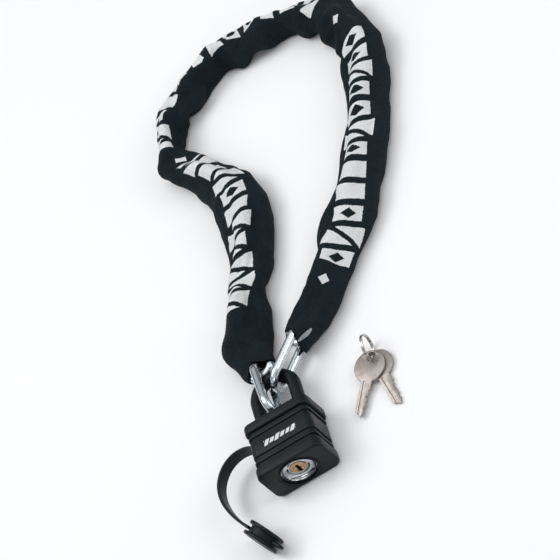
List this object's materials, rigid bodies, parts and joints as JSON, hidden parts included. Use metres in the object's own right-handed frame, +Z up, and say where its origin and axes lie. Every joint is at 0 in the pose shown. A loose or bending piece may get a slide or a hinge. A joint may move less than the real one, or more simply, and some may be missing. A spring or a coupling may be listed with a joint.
{
  "type": "chain lock",
  "caption": "Steel chain in a woven sleeve, closed in a loop by a covered laminated padlock with a hinged keyway cap, with keys on a split ring.",
  "frame": {"origin": "middle of the padlock's back face, on the surface that the lock lies on", "axes": "+Z up out of the padlock's front, +Y along the shackle legs towards the chain, +X along the padlock's width"},
  "size_m": [0.2253, 0.459, 0.032],
  "materials": {
    "cover": "satin moulded black",
    "plate_steel": "stamped",
    "rivet_steel": "peened",
    "dish_chrome": "bright",
    "shackle_steel": "plated",
    "shackle_vinyl": "smooth black vinyl",
    "spring_steel": "bright wire",
    "lever_steel": "stamped",
    "brass": "machined",
    "pin_steel": "ground",
    "strap_rubber": "moulded black rubber",
    "sleeve_fabric": "woven nylon with a pale printed pattern",
    "link_zinc": "bright zinc plate",
    "key_nickel": "nickel plate",
    "ring_steel": "bright steel"
  },
  "bodies": {
    "chain": {"chain_sleeve": "sleeve_fabric", "flat_links": "link_zinc", "upright_links": "link_zinc", "end_link_left": "link_zinc", "end_link_right": "link_zinc"},
    "shackle": {"shackle": "shackle_steel", "shackle_sleeve": "shackle_vinyl"},
    "padlock": {"cover_top": "cover", "cover_band": "cover", "cover_bottom": "cover", "top_plate": "plate_steel", "lever_plate": "plate_steel", "cam_plate": "plate_steel", "guide_plates": "plate_steel", "cylinder_plates": "plate_steel", "bottom_plate": "plate_steel", "corner_rivets": "rivet_steel", "keyway_dish": "dish_chrome", "shackle_spring": "spring_steel", "cylinder_shell": "brass", "driver_pins": "pin_steel", "pin_springs": "spring_steel"},
    "lever_left": {"lever_left": "lever_steel"},
    "lever_right": {"lever_right": "lever_steel"},
    "plug": {"cylinder_plug": "brass", "plug_cam": "lever_steel", "plug_clip": "spring_steel", "key_pins": "brass"},
    "cap": {"cap_strap": "strap_rubber", "keyway_cap": "strap_rubber"},
    "key_ring": {"split_ring": "ring_steel"},
    "key_a": {"key_a": "key_nickel"},
    "key_b": {"key_b": "key_nickel"}
  },
  "joints": [
    {"name": "padlock_tilt", "type": "hinge", "parent": "chain", "child": "shackle", "pos_m": [0, 0.0577, 0.016], "axis": [-1, 0, 0], "range_deg": [0, 30]},
    {"name": "padlock_open", "type": "slide", "parent": "shackle", "child": "padlock", "axis": [0, -1, 0], "range_m": [0, 0.0135]},
    {"name": "plug_turn", "type": "hinge", "parent": "padlock", "child": "plug", "pos_m": [0, 0, 0.016], "axis": [0, 1, 0], "range_deg": [0, 90]},
    {"name": "lever_left_slide", "type": "slide", "parent": "padlock", "child": "lever_left", "axis": [1, 0, 0], "range_m": [0, 0.006]},
    {"name": "lever_right_slide", "type": "slide", "parent": "padlock", "child": "lever_right", "axis": [-1, 0, 0], "range_m": [0, 0.006]},
    {"name": "cap_swing", "type": "hinge", "parent": "padlock", "child": "cap", "pos_m": [-0.026, 0.0124, 0.015], "axis": [0, 0, 1], "range_deg": [-20, 20]},
    {"name": "key_ring_lift", "type": "slide", "parent": "chain", "child": "key_ring", "axis": [0, 0, 1], "range_m": [0, 0.04]},
    {"name": "key_a_turn", "type": "hinge", "parent": "key_ring", "child": "key_a", "pos_m": [0.07, 0.0396, 0.00405], "axis": [0, -0.0419, 0.9991], "range_deg": [-15, 15]},
    {"name": "key_b_turn", "type": "hinge", "parent": "key_ring", "child": "key_b", "pos_m": [0.07, 0.0396, 0.0019], "axis": [0, -0.0419, 0.9991], "range_deg": [-15, 15]}
  ],
  "couplings": [
    {"joint": "plug_turn", "follows": "padlock_open", "rad_per_m": 116.35},
    {"joint": "lever_left_slide", "follows": "padlock_open", "ratio": 0.4444},
    {"joint": "lever_right_slide", "follows": "padlock_open", "ratio": 0.4444}
  ]
}
